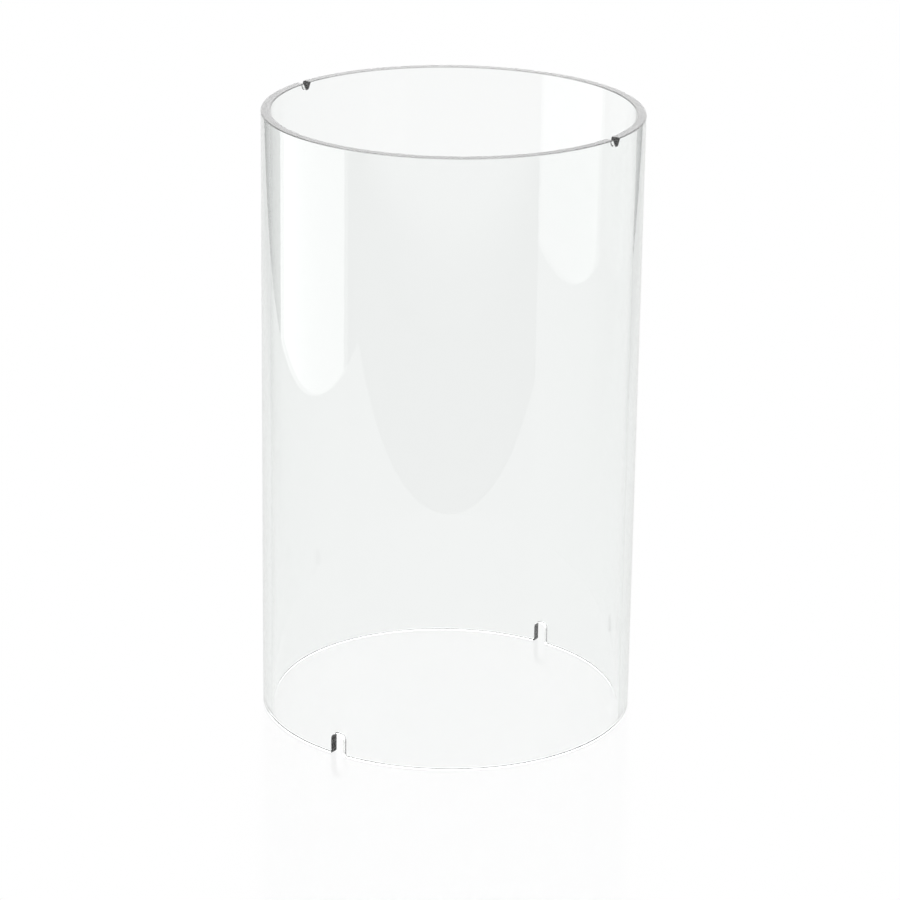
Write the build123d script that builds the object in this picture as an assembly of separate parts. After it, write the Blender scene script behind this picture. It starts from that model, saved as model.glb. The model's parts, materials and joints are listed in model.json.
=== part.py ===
from build123d import *
import math
import os

# Clear glass cylinder: one straight tube, open at both ends, that stands on its lower rim.
# Millimetres. The origin is the centre of the lower rim, and +Z runs up the tube's axis.
# Two slots through the lower rim face each other on the Y axis, and two shallower notches
# through the upper rim face each other on the X axis, a quarter turn from the slots.

# Tube
OUTER_DIAMETER = 100.0
WALL = 2.5
HEIGHT = 165.0

# Lower slots: straight sides, rounded top corners, mouth eased into the rim
SLOT_WIDTH = 3.7
SLOT_DEPTH = 6.0
SLOT_CORNER_RADIUS = 1.5
SLOT_MOUTH_RADIUS = 0.6

# Upper notches: round floor, sides that lean outwards, shoulders eased into the rim
NOTCH_DEPTH = 1.85
NOTCH_FLOOR_RADIUS = 0.8
NOTCH_SIDE_LEAN = 27.0  # degrees from the vertical
NOTCH_SHOULDER_RADIUS = 0.3

# Every edge of the glass is fire-polished to this radius
EDGE_RADIUS = 0.3

# How far each cutting outline runs sideways and past the rim, well clear of its own corners
OUTLINE_REACH = 6.0

OUTER_RADIUS = OUTER_DIAMETER / 2
INNER_RADIUS = OUTER_RADIUS - WALL
SEAM_ANGLE = 45.0  # turns the cylinders' own seam away from every slot and notch


def plain_tube():
    tube = Cylinder(OUTER_RADIUS, HEIGHT, align=(Align.CENTER, Align.CENTER, Align.MIN))
    tube -= Cylinder(INNER_RADIUS, HEIGHT, align=(Align.CENTER, Align.CENTER, Align.MIN))
    return Rot(0, 0, SEAM_ANGLE) * tube


def through_cut(corners, radii):
    """Solid that cuts one opening through both sides of the wall.

    The corners are (sideways, into the glass) from the middle of the opening at the rim. A strip
    past the rim closes the outline, so that the radii at the rim ease the mouth outwards.
    """
    mouth = [(-OUTLINE_REACH, 0), *corners, (OUTLINE_REACH, 0)]
    strip = [(OUTLINE_REACH, -OUTLINE_REACH), (-OUTLINE_REACH, -OUTLINE_REACH)]
    outline = FilletPolyline(*mouth, *strip, radius=[0, *radii, 0, 0, 0], close=True)
    face = Plane.XZ * make_face(outline)
    return extrude(face, amount=OUTER_DIAMETER, both=True)


def lower_slots():
    half = SLOT_WIDTH / 2
    corners = [(-half, 0), (-half, SLOT_DEPTH), (half, SLOT_DEPTH), (half, 0)]
    radii = [SLOT_MOUTH_RADIUS, SLOT_CORNER_RADIUS, SLOT_CORNER_RADIUS, SLOT_MOUTH_RADIUS]
    return through_cut(corners, radii)


def upper_notches():
    # The leaning sides would meet in a point below the round floor that touches them both.
    lean = math.radians(NOTCH_SIDE_LEAN)
    point_depth = NOTCH_DEPTH - NOTCH_FLOOR_RADIUS + NOTCH_FLOOR_RADIUS / math.sin(lean)
    half = point_depth * math.tan(lean)
    corners = [(-half, 0), (0, point_depth), (half, 0)]
    radii = [NOTCH_SHOULDER_RADIUS, NOTCH_FLOOR_RADIUS, NOTCH_SHOULDER_RADIUS]
    cut = through_cut(corners, radii)
    return Pos(0, 0, HEIGHT) * Rot(0, 0, 90) * Rot(180, 0, 0) * cut


def is_rim_edge(edge):
    """True for the edges round both rims, openings included, but not for seams in smooth faces."""
    start, end = edge @ 0, edge @ 1
    crosses_wall = abs(math.hypot(start.X, start.Y) - math.hypot(end.X, end.Y)) > WALL / 2
    runs_up_the_tube = abs(start.Z - end.Z) > HEIGHT / 2
    return not crosses_wall and not runs_up_the_tube


def glass_cylinder():
    glass = plain_tube() - lower_slots() - upper_notches()
    return fillet(glass.edges().filter_by(is_rim_edge), EDGE_RADIUS)


os.makedirs("parts", exist_ok=True)
export_step(glass_cylinder(), "parts/glass_cylinder.step")
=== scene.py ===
import json
import math

import bpy
import numpy as np
from mathutils import Matrix, Vector


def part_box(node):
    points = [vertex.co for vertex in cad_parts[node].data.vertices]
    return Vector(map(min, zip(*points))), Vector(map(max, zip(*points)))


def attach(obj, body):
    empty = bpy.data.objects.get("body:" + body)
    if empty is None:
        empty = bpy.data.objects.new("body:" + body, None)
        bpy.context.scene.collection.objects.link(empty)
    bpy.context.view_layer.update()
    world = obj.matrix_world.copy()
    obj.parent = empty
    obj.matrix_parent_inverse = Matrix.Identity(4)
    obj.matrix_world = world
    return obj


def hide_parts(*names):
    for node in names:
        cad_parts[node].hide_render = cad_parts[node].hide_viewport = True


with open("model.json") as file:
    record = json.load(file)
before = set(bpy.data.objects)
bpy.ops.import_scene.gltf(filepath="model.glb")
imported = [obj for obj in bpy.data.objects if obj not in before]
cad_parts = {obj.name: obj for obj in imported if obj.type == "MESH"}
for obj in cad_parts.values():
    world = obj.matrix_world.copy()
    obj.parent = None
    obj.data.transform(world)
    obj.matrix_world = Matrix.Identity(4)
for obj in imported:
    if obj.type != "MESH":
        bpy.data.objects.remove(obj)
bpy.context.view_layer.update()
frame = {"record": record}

MM = 0.001

# The tube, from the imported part
low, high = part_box("glass_cylinder")
HEIGHT = high.z - low.z
OUTER_RADIUS = (high.x - low.x) / 2
INNER_RADIUS = next(m for m in frame["record"]["mounts"] if m["name"] == "inside")["dims"]["r_mm"] * MM
WALL = OUTER_RADIUS - INNER_RADIUS

# Lower slots and upper notches, with the sizes of the part's own except where a comment says so
SLOT_WIDTH = 3.7 * MM
SLOT_DEPTH = 6.0 * MM
SLOT_CORNER_RADIUS = 1.5 * MM
SLOT_MOUTH_RADIUS = 0.6 * MM
NOTCH_DEPTH = 1.85 * MM
NOTCH_FLOOR_RADIUS = 0.8 * MM
NOTCH_SIDE_LEAN = math.radians(27)
NOTCH_SHOULDER_RADIUS = 0.32 * MM  # 0.3 in the part, which the edge radius would shrink to a point
EDGE_RADIUS = 0.3 * MM

# The mesh: one closed grid of quads, whose columns run round the tube and whose rows run round its wall
COLUMNS = 144  # in each quarter of the tube
ARC_STEP = math.radians(10)  # along rounded corners
LINE_STEP = 0.4 * MM  # along an opening's straight sides
FITTED_HEIGHT = 26 * MM  # of the rows at each rim that bend round its openings
FITTED_ROWS = 26
MIDDLE_ROWS = 14
RELAXING_ROUNDS = 1500
GROWTH_ROUNDS = 60
GROWTH_PACE = 1.5  # power of each correction to the growth, times the number of columns
EDGE_ROWS = 6  # over each rounded edge
FACE_ROWS = 6  # over the flat of each rim
OPENING_FADE = 0.25 * MM  # depth over which a ground rim becomes an opening's chipped face
CUT_SPAN = (4 * MM, 18 * MM)  # where straight-sided cuts give way to a radial wall, along the rim

# The glass
GLASS_IOR = 1.47
# It absorbs its density times (1 - tint), per metre
GLASS_TINT = (0.935, 0.945, 0.94)
GLASS_DENSITY = 340.0

# Its surface. Scales are per metre, reliefs in metres. A span is the noise over which a quality changes
NOISE_DETAIL = 2.0
DRAW_STRETCH = (1.0, 1.0, 0.03)  # draw lines run up the tube
DRAW_SCALE = 220.0
DRAW_RELIEF = 0.0006 * MM
DRAW_SPAN = (0.5, 0.8)
WALL_ROUGHNESS = (0.0, 0.012)
GRAIN_SCALE = 3000.0
GRAIN_RELIEF = 0.006 * MM
GRAIN_SPAN = (0.3, 0.7)
GROUND_ROUGHNESS = (0.06, 0.26)
CHIP_SCALE = 1300.0
CHIP_RELIEF = 0.12 * MM
CHIP_SPAN = (0.45, 0.6)
CHIP_ROUGHNESS = (0.04, 0.3)
# Painted shade on the chipped faces, mottled by the chips: the noise span, then the darkest and lightest
# colour
CHIP_PAINTED_SHADE_SPAN = (0.5, 0.68)
CHIP_PAINTED_SHADE = (0.12, 0.9)
PAINTED_EDGE_SHADE = 0.2  # painted shade on the rounded edges of the upper rim
PAINTED_EDGE_FADE = 0.35  # power that spreads the painted shade towards the wall

# The camera, from the object's centre line
CAMERA_AZIMUTH = math.radians(34.6)
CAMERA_SHIFT = 0.0012  # of the frame's width
CAMERA_DISTANCE = 903.3 * MM
CAMERA_HEIGHT = 390.0 * MM
CAMERA_PITCH = math.radians(19.43)
CAMERA_ROLL = math.radians(0.8)
CAMERA_LENS = 143.0
CAMERA_CLIP = (0.01, 100)

# The studio: a plain pale floor under an even white sky, and one soft box and three dark cards that stand on
# the floor, outside the main view's frame. Lights are emission strengths. Places are metres to the right of
# the object's axis and in front of it, as the camera sees it.
FLOOR_HALF = 12.0
FLOOR_GAP = 0.1 * MM
SKY = 2.4
FLOOR_LIGHT = 1.0
FLOOR_POLISH = 0.04
FLOOR_ROUGHNESS = 0.15
LEFT, RIGHT, FRONT, BACK = -0.327, 0.327, 0.242, -0.75
FRONT_CARD_RIGHT = 0.278
BOX_FRONT, BOX_BACK = 0.17, -0.175
RIGHT_CARD_FRONT = -0.33
FRONT_CARD_HEIGHT, BOX_HEIGHT, SIDE_CARD_HEIGHT = 0.11, 0.2, 0.08
DARK_FRONT, DARK_SIDE, BOX_LIGHT = 0.05, 0.02, 1.9
CARD_FADE = 0.04  # the top of a card over which its light changes

# Name, ends, height, light at the foot, light at the top, and whether it shows through the glass
STANDING_CARDS = (
    (
        "front_card", ((LEFT, BOX_FRONT), (LEFT, FRONT), (FRONT_CARD_RIGHT, FRONT)),
        FRONT_CARD_HEIGHT, DARK_FRONT, FLOOR_LIGHT, False,
    ),
    ("left_soft_box", ((LEFT, BOX_FRONT), (LEFT, BOX_BACK)), BOX_HEIGHT, BOX_LIGHT, BOX_LIGHT, True),
    ("left_dark_card", ((LEFT, BOX_BACK), (LEFT, BACK)), SIDE_CARD_HEIGHT, DARK_SIDE, DARK_SIDE, False),
    (
        "right_dark_card", ((RIGHT, RIGHT_CARD_FRONT), (RIGHT, BACK)),
        SIDE_CARD_HEIGHT, DARK_SIDE, DARK_SIDE, False,
    ),
)


# ---------------------------------------------------------------- the glass's shape

def rounded_outline(corners, radii):
    """Points along an open outline with rounded corners, and the direction to the left of it at each."""
    points, normals = [], []
    at = np.array(corners[0], float)
    for i, radius in enumerate(radii, start=1):
        corner = np.array(corners[i], float)
        into = (corner - corners[i - 1]) / np.linalg.norm(corner - corners[i - 1])
        out = (corners[i + 1] - corner) / np.linalg.norm(corners[i + 1] - corner)
        turn = math.atan2(into[0] * out[1] - into[1] * out[0], into @ out)
        start = corner - into * radius * math.tan(abs(turn) / 2)
        left = np.array([-into[1], into[0]])
        centre = start + left * math.copysign(radius, turn)
        if i > 1:
            steps = max(1, round(np.linalg.norm(start - at) / LINE_STEP))
            for k in range(1, steps):
                points.append(at + (start - at) * k / steps)
                normals.append(left)
        steps = round(abs(turn) / ARC_STEP)
        for k in range(steps + 1):
            angle = turn * k / steps
            spin = np.array([[math.cos(angle), -math.sin(angle)], [math.sin(angle), math.cos(angle)]])
            points.append(centre + spin @ (start - centre))
            normals.append(spin @ left)
        at = points[-1]
    return np.array(points), np.array(normals)


def slot_outline():
    half = SLOT_WIDTH / 2
    reach = SLOT_WIDTH  # the outline's two ends only give its direction there
    corners = [(-reach, 0), (-half, 0), (-half, SLOT_DEPTH), (half, SLOT_DEPTH), (half, 0), (reach, 0)]
    radii = [SLOT_MOUTH_RADIUS, SLOT_CORNER_RADIUS, SLOT_CORNER_RADIUS, SLOT_MOUTH_RADIUS]
    return rounded_outline(np.array(corners), radii)


def notch_outline():
    point_depth = NOTCH_DEPTH - NOTCH_FLOOR_RADIUS + NOTCH_FLOOR_RADIUS / math.sin(NOTCH_SIDE_LEAN)
    half = point_depth * math.tan(NOTCH_SIDE_LEAN)
    reach = 3 * half  # as in the slot's outline
    corners = [(-reach, 0), (-half, 0), (0, point_depth), (half, 0), (reach, 0)]
    radii = [NOTCH_SHOULDER_RADIUS, NOTCH_FLOOR_RADIUS, NOTCH_SHOULDER_RADIUS]
    return rounded_outline(np.array(corners), radii)


def quarter_rim(outline=None):
    """A quarter of a rim, plain or with an opening in its middle.

    Gives its (along, into the glass) points and their normals.
    """
    half = OUTER_RADIUS * math.pi / 4
    if outline is None:
        along = np.linspace(-half, half, COLUMNS + 1)
        points = np.stack([along, 0 * along], 1)
        return points, np.tile([0.0, 1.0], (COLUMNS + 1, 1))
    points, normals = outline
    count = COLUMNS + 1 - len(points)
    sides = []
    for number, end in ((count // 2, points[0, 0]), (count - count // 2, points[-1, 0])):
        # Spacing grows steadily from the opening to the quarter's end
        first = np.linalg.norm(points[1] - points[0])
        length = half - abs(end)
        growth = 1.0
        for _ in range(GROWTH_ROUNDS):
            terms = sum(growth**k for k in range(number))
            growth *= (length / first / terms) ** (GROWTH_PACE / number)
        gaps = np.cumsum(growth ** np.arange(number))
        along = abs(end) + length * gaps / gaps[-1]
        sides.append(np.stack([np.sign(end) * along, 0 * along], 1))
    plain = np.array([0.0, 1.0])
    points = np.vstack([sides[0][::-1], points, sides[1]])
    normals = np.vstack([np.tile(plain, (len(sides[0]), 1)), normals, np.tile(plain, (len(sides[1]), 1))])
    return points, normals


def relaxed(grid):
    """Smooths a grid between its fixed edges, so that its lines don't cross (Winslow's equations)."""
    for _ in range(RELAXING_ROUNDS):
        across = (grid[1:-1, 2:] - grid[1:-1, :-2]) / 2
        up = (grid[2:, 1:-1] - grid[:-2, 1:-1]) / 2
        twist = (grid[2:, 2:] - grid[2:, :-2] - grid[:-2, 2:] + grid[:-2, :-2]) / 4
        up_squared = (up**2).sum(-1, keepdims=True)
        slant = (up * across).sum(-1, keepdims=True)
        across_squared = (across**2).sum(-1, keepdims=True)
        sides = grid[1:-1, 2:] + grid[1:-1, :-2]
        ends = grid[2:, 1:-1] + grid[:-2, 1:-1]
        pull = up_squared * sides + across_squared * ends - 2 * slant * twist
        grid[1:-1, 1:-1] = pull / (2 * (up_squared + across_squared))
    return grid


def fitted_rows(points, normals):
    """Rows of (along, into the glass) from a rim's rounded edge to where the rows run level."""
    base = points + normals * EDGE_RADIUS
    along = np.linspace(base[0, 0], base[-1, 0], COLUMNS + 1)
    level = np.stack([along, np.full(COLUMNS + 1, FITTED_HEIGHT)], 1)
    share = np.linspace(0, 1, FITTED_ROWS + 1)[:, None, None]
    return relaxed(base * (1 - share) + level * share)


def around(quarters):
    """Joins the quarters' columns into a ring, without each quarter's last, which its neighbour repeats."""
    return np.concatenate([quarter[..., :-1, :] for quarter in quarters], axis=-2)


def wall_points(flat, middle, radius):
    """Places (along, height) points on a cylinder. Near an opening, the cut's sides stay parallel."""
    along = flat[..., 0]
    near, far = CUT_SPAN
    share = np.clip((far - abs(along)) / (far - near), 0, 1)
    share = share * share * (3 - 2 * share)
    angle = middle + along / OUTER_RADIUS + share * along * (1 / radius - 1 / OUTER_RADIUS)
    return np.stack([radius * np.cos(angle), radius * np.sin(angle), flat[..., 1]], -1), angle, share


def rim_rows(points, normals, middle, base, up):
    """Rows over a rim, from outside to inside: rounded edge, flat and rounded edge.

    Gives points, normals and finishes. A finish is how far a point is on a ground flat and in an opening,
    and how much painted shade it takes on a rounded edge.
    """
    rows, turned, finishes = [], [], []
    opening = np.clip(points[:, 1] / OPENING_FADE, 0, 1)
    tips = np.linspace(0, math.pi / 2, EDGE_ROWS + 1)
    bend = [(EDGE_RADIUS * (1 - math.sin(tip)), EDGE_RADIUS * (1 - math.cos(tip)), tip) for tip in tips]
    flat = np.linspace(EDGE_RADIUS, WALL - EDGE_RADIUS, FACE_ROWS + 1)[1:-1]
    # Each step has its offset from the rim, its depth in the wall, its tip from radial, and its side
    steps = [(offset, depth, tip, 1) for offset, depth, tip in bend]
    steps += [(0, depth, math.pi / 2, 0) for depth in flat]
    steps += [(offset, WALL - depth, tip, -1) for offset, depth, tip in bend[::-1]]
    for offset, depth, tip, side in steps:
        at = points + normals * offset
        flat_at = np.stack([at[:, 0], base + up * at[:, 1]], -1)
        place, angle, share = wall_points(flat_at, middle, OUTER_RADIUS - depth)
        radial = np.stack([np.cos(angle), np.sin(angle), 0 * angle], -1)
        face = middle + (angle - middle) * (1 - share)
        tangent = np.stack([-np.sin(face), np.cos(face), 0 * face], -1)
        away = -(normals[:, :1] * tangent + normals[:, 1:] * up * np.array([0, 0, 1.0]))
        rows.append(place)
        turned.append(side * math.cos(tip) * radial + math.sin(tip) * away)
        flat_share = 1.0 if side == 0 else 0.0
        # How much painted shade a rounded edge takes: none where it meets the wall, most at the flat
        painted_edge_share = (1 - flat_share) * math.sin(tip) ** PAINTED_EDGE_FADE
        finish = [0 * opening + flat_share, flat_share * opening, 0 * opening + painted_edge_share]
        finishes.append(np.stack(finish, -1))
    return np.array(rows), np.array(turned), np.array(finishes)


def glass_grid():
    """All rows round the wall: up the outside, over the top, down the inside and under."""
    middles = [-math.pi / 2, 0, math.pi / 2, math.pi]
    plain = quarter_rim()
    lower = [quarter_rim(slot_outline()), plain] * 2
    upper = [plain, quarter_rim(notch_outline())] * 2
    outside, inside, over, under = [], [], [], []
    middle_share = np.linspace(0, 1, MIDDLE_ROWS + 1)[1:-1, None, None]
    for middle, low_rim, high_rim in zip(middles, lower, upper):
        bottom, top = fitted_rows(*low_rim), fitted_rows(*high_rim)
        top[..., 1] = HEIGHT - top[..., 1]
        top = top[::-1]
        between = bottom[-1] * (1 - middle_share) + top[0] * middle_share
        sheet = np.concatenate([bottom, between, top])
        outside.append(wall_points(sheet, middle, OUTER_RADIUS)[0])
        inside.append(wall_points(sheet[::-1], middle, INNER_RADIUS)[0])
        over.append(rim_rows(*high_rim, middle, HEIGHT, -1))
        under.append(rim_rows(*low_rim, middle, 0, 1))
    out_ring, in_ring = around(outside), around(inside)
    over_ring = around([rim[0] for rim in over])
    under_ring = around([rim[0] for rim in under])[::-1]
    radial = out_ring * [1, 1, 0] / OUTER_RADIUS
    radial_in = -in_ring * [1, 1, 0] / INNER_RADIUS
    # The rims' first and last rows are the walls' own end rows
    places = np.concatenate([out_ring, over_ring[1:-1], in_ring, under_ring[1:-1]])
    over_normals = around([rim[1] for rim in over])[1:-1]
    under_normals = around([rim[1] for rim in under])[::-1][1:-1]
    normals = np.concatenate([radial, over_normals, radial_in, under_normals])
    over_finish = around([rim[2] for rim in over])[1:-1]
    under_finish = around([rim[2] for rim in under])[::-1][1:-1]
    plain_wall = np.zeros((len(out_ring), out_ring.shape[1], 3))
    return places, normals, np.concatenate([plain_wall, over_finish, plain_wall, under_finish])


def glass_mesh():
    places, normals, finishes = glass_grid()
    rows, columns = places.shape[:2]
    index = np.arange(rows * columns).reshape(rows, columns)
    right, above = np.roll(index, -1, 1), np.roll(index, -1, 0)
    faces = np.stack([index, right, np.roll(right, -1, 0), above], -1).reshape(-1, 4)
    mesh = bpy.data.meshes.new("glass")
    mesh.from_pydata(places.reshape(-1, 3).tolist(), [], faces.tolist())
    mesh.validate()
    mesh.polygons.foreach_set("use_smooth", [True] * len(mesh.polygons))
    # Which points are on ground faces and in openings, and how much painted shade each point on a rounded
    # edge takes, for the material
    for layer, name in enumerate(("ground", "opening", "painted_edge_share")):
        values = finishes[..., layer].ravel().astype(np.float32)
        mesh.attributes.new(name, "FLOAT", "POINT").data.foreach_set("value", values)
    mesh.normals_split_custom_set_from_vertices(normals.reshape(-1, 3).tolist())
    return mesh


# ---------------------------------------------------------------- materials

class Sums:
    """Arithmetic in a material's nodes."""

    def __init__(self, material_nodes, material_links):
        self.nodes, self.links = material_nodes, material_links

    def feed(self, socket, value):
        if isinstance(value, bpy.types.NodeSocket):
            self.links.new(value, socket)
        else:
            socket.default_value = value

    def math(self, operation, *values):
        node = self.nodes.new("ShaderNodeMath")
        node.operation = operation
        for socket, value in zip(node.inputs, values):
            self.feed(socket, value)
        return node.outputs[0]

    def ramp(self, value, start, end, first=0.0, last=1.0):
        """Runs smoothly from first to last as value runs from start to end."""
        node = self.nodes.new("ShaderNodeMapRange")
        node.interpolation_type = "SMOOTHSTEP"
        settings = {"Value": value, "From Min": start, "From Max": end, "To Min": first, "To Max": last}
        for name, setting in settings.items():
            self.feed(node.inputs[name], setting)
        return node.outputs[0]

    def pick(self, share, no, yes):
        """Mixes from no to yes as share goes from 0 to 1."""
        node = self.nodes.new("ShaderNodeMix")
        # Its inputs for plain numbers: factor, A and B
        for socket, value in zip(node.inputs[:1] + node.inputs[2:4], (share, no, yes)):
            self.feed(socket, value)
        return node.outputs[0]

    def along(self, vector, direction):
        """The part of a vector that lies along a direction."""
        node = self.nodes.new("ShaderNodeVectorMath")
        node.operation = "DOT_PRODUCT"
        self.feed(node.inputs[0], vector)
        node.inputs[1].default_value = direction
        return node.outputs["Value"]

    def stretched(self, vector, scale):
        node = self.nodes.new("ShaderNodeVectorMath")
        node.operation = "MULTIPLY"
        self.feed(node.inputs[0], vector)
        node.inputs[1].default_value = scale
        return node.outputs[0]

    def layer(self, name):
        """One of the mesh's own attributes."""
        node = self.nodes.new("ShaderNodeAttribute")
        node.attribute_name = name
        return node.outputs["Fac"]

    def noise(self, vector, scale):
        node = self.nodes.new("ShaderNodeTexNoise")
        for name, setting in (("Vector", vector), ("Scale", scale), ("Detail", NOISE_DETAIL)):
            self.feed(node.inputs[name], setting)
        return node.outputs["Fac"]


def new_material(name):
    material = bpy.data.materials.new(name)
    material.use_nodes = True
    nodes = material.node_tree.nodes
    nodes.clear()
    return material, nodes, material.node_tree.links


def glass_material():
    """Clear drawn glass, slightly grey-green, with satin rims, chipped faces in its openings, and painted
    shade on those faces and on the upper rim's rounded edges.
    """
    material, nodes, links = new_material("clear_glass")
    sums = Sums(nodes, links)
    place = nodes.new("ShaderNodeTexCoord").outputs["Object"]
    ground, opening, painted_edge_share = (sums.layer(name) for name in ("ground", "opening", "painted_edge_share"))
    grain = sums.noise(place, GRAIN_SCALE)
    chips = sums.noise(place, CHIP_SCALE)
    draw_lines = sums.noise(sums.stretched(place, DRAW_STRETCH), DRAW_SCALE)
    # Roughness: clear walls with a trace of haze, satin rims, glassy chips in the openings
    haze = sums.ramp(draw_lines, *DRAW_SPAN, *WALL_ROUGHNESS)
    satin = sums.ramp(grain, *GRAIN_SPAN, *GROUND_ROUGHNESS)
    chipped = sums.ramp(chips, *CHIP_SPAN, *CHIP_ROUGHNESS)
    rough = sums.pick(opening, sums.pick(ground, haze, satin), chipped)
    # Relief
    wall_relief = sums.math("MULTIPLY", draw_lines, DRAW_RELIEF)
    ground_relief = sums.math("MULTIPLY", grain, GRAIN_RELIEF)
    chip_relief = sums.math("MULTIPLY", chips, CHIP_RELIEF)
    bump = nodes.new("ShaderNodeBump")
    relief = sums.pick(opening, sums.pick(ground, wall_relief, ground_relief), chip_relief)
    sums.feed(bump.inputs["Height"], relief)
    # Colour: painted shade on the chipped faces, mottled by the chips, and on the upper rim's rounded edges.
    # Upper is 1 in the upper half
    upper = sums.ramp(sums.along(place, (0, 0, 1)), HEIGHT / 2 - MM, HEIGHT / 2)
    # Painted shade on the chipped faces, mottled by the chips
    painted_shade = sums.pick(opening, 1.0, sums.ramp(chips, *CHIP_PAINTED_SHADE_SPAN, *CHIP_PAINTED_SHADE))
    # The upper rim's rounded edges take painted shade
    painted_edge_tone = sums.pick(sums.math("MULTIPLY", painted_edge_share, upper), 1.0, PAINTED_EDGE_SHADE)
    painted_shade = sums.math("MULTIPLY", painted_shade, painted_edge_tone)
    shader = nodes.new("ShaderNodeBsdfPrincipled")
    colour = nodes.new("ShaderNodeCombineColor")
    for channel in colour.inputs:
        sums.feed(channel, painted_shade)
    links.new(colour.outputs[0], shader.inputs["Base Color"])
    shader.inputs["IOR"].default_value = GLASS_IOR
    shader.inputs["Transmission Weight"].default_value = 1.0
    sums.feed(shader.inputs["Roughness"], rough)
    links.new(bump.outputs[0], shader.inputs["Normal"])
    inside = nodes.new("ShaderNodeVolumeAbsorption")
    inside.inputs["Color"].default_value = (*GLASS_TINT, 1)
    inside.inputs["Density"].default_value = GLASS_DENSITY
    out = nodes.new("ShaderNodeOutputMaterial")
    links.new(shader.outputs[0], out.inputs["Surface"])
    links.new(inside.outputs[0], out.inputs["Volume"])
    return material


# ---------------------------------------------------------------- the object

def glass_cylinder():
    piece = bpy.data.objects.new("glass_cylinder_body", glass_mesh())
    bpy.context.scene.collection.objects.link(piece)
    piece.data.materials.append(glass_material())
    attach(piece, "root")
    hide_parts("glass_cylinder")
    return piece


# ---------------------------------------------------------------- the studio

def studio_frame(x, y, z=0.0):
    """A place in the studio, with the camera on the -Y side, turned to the object's own frame."""
    return Matrix.Rotation(CAMERA_AZIMUTH, 3, "Z") @ Vector((x, y, z))


def plane(name, corners, material):
    mesh = bpy.data.meshes.new(name)
    mesh.from_pydata([studio_frame(*c) for c in corners], [], [tuple(range(len(corners)))])
    piece = bpy.data.objects.new(name, mesh)
    bpy.context.scene.collection.objects.link(piece)
    piece.data.materials.append(material)
    return piece


def floor_material():
    """A plain pale floor that glows evenly and is polished enough to mirror the object faintly."""
    material, nodes, links = new_material("floor")
    glow = nodes.new("ShaderNodeEmission")
    glow.inputs["Strength"].default_value = FLOOR_LIGHT - SKY * FLOOR_POLISH
    polish = nodes.new("ShaderNodeBsdfGlossy")
    polish.inputs["Roughness"].default_value = FLOOR_ROUGHNESS
    polish.inputs["Color"].default_value = (FLOOR_POLISH, FLOOR_POLISH, FLOOR_POLISH, 1)
    both = nodes.new("ShaderNodeAddShader")
    links.new(glow.outputs[0], both.inputs[0])
    links.new(polish.outputs[0], both.inputs[1])
    out = nodes.new("ShaderNodeOutputMaterial")
    links.new(both.outputs[0], out.inputs["Surface"])
    return material


def card_material(name, top, low_light, high_light):
    """An evenly lit card, or one that fades with height from one light to another."""
    material, nodes, links = new_material(name)
    sums = Sums(nodes, links)
    height = sums.along(nodes.new("ShaderNodeNewGeometry").outputs["Position"], (0, 0, 1))
    glow = nodes.new("ShaderNodeEmission")
    sums.feed(glow.inputs["Strength"], sums.ramp(height, top - CARD_FADE, top, low_light, high_light))
    out = nodes.new("ShaderNodeOutputMaterial")
    links.new(glow.outputs[0], out.inputs["Surface"])
    return material


def standing_card(name, ends, top, low_light, high_light, through_glass):
    """Stands on the floor outside the main view's frame. No camera sees it directly, from any side."""
    material = card_material(name, top, low_light, high_light)
    for number, ((start_x, start_front), (end_x, end_front)) in enumerate(zip(ends, ends[1:])):
        start, end = (start_x, -start_front), (end_x, -end_front)
        corners = [(*start, 0), (*end, 0), (*end, top), (*start, top)]
        piece = plane(f"{name}_{number}", corners, material)
        piece.visible_camera = False
        piece.visible_transmission = through_glass


def studio():
    below = -FLOOR_GAP
    half = FLOOR_HALF
    corners = [(-half, -half, below), (half, -half, below), (half, half, below), (-half, half, below)]
    plane("floor", corners, floor_material())
    for card in STANDING_CARDS:
        standing_card(*card)
    world = bpy.data.worlds.new("studio")
    world.use_nodes = True
    world.node_tree.nodes["Background"].inputs["Color"].default_value = (1, 1, 1, 1)
    world.node_tree.nodes["Background"].inputs["Strength"].default_value = SKY
    bpy.context.scene.world = world
    bpy.context.scene.view_settings.view_transform = "Standard"


def camera():
    """Looks down at the object's axis, turned slightly about its own line of sight."""
    data = bpy.data.cameras.new("camera")
    data.lens = CAMERA_LENS
    data.shift_x = CAMERA_SHIFT
    data.clip_start, data.clip_end = CAMERA_CLIP
    eye = bpy.data.objects.new("camera", data)
    bpy.context.scene.collection.objects.link(eye)
    ahead = studio_frame(0, math.cos(CAMERA_PITCH), -math.sin(CAMERA_PITCH))
    side = studio_frame(1, 0)
    up = side.cross(ahead)
    turned_side = side * math.cos(CAMERA_ROLL) + up * math.sin(CAMERA_ROLL)
    turned_up = up * math.cos(CAMERA_ROLL) - side * math.sin(CAMERA_ROLL)
    turn = Matrix((turned_side, turned_up, -ahead)).transposed().to_4x4()
    eye.matrix_world = Matrix.Translation(studio_frame(0, -CAMERA_DISTANCE, CAMERA_HEIGHT)) @ turn
    bpy.context.scene.camera = eye


glass_cylinder()
studio()
camera()
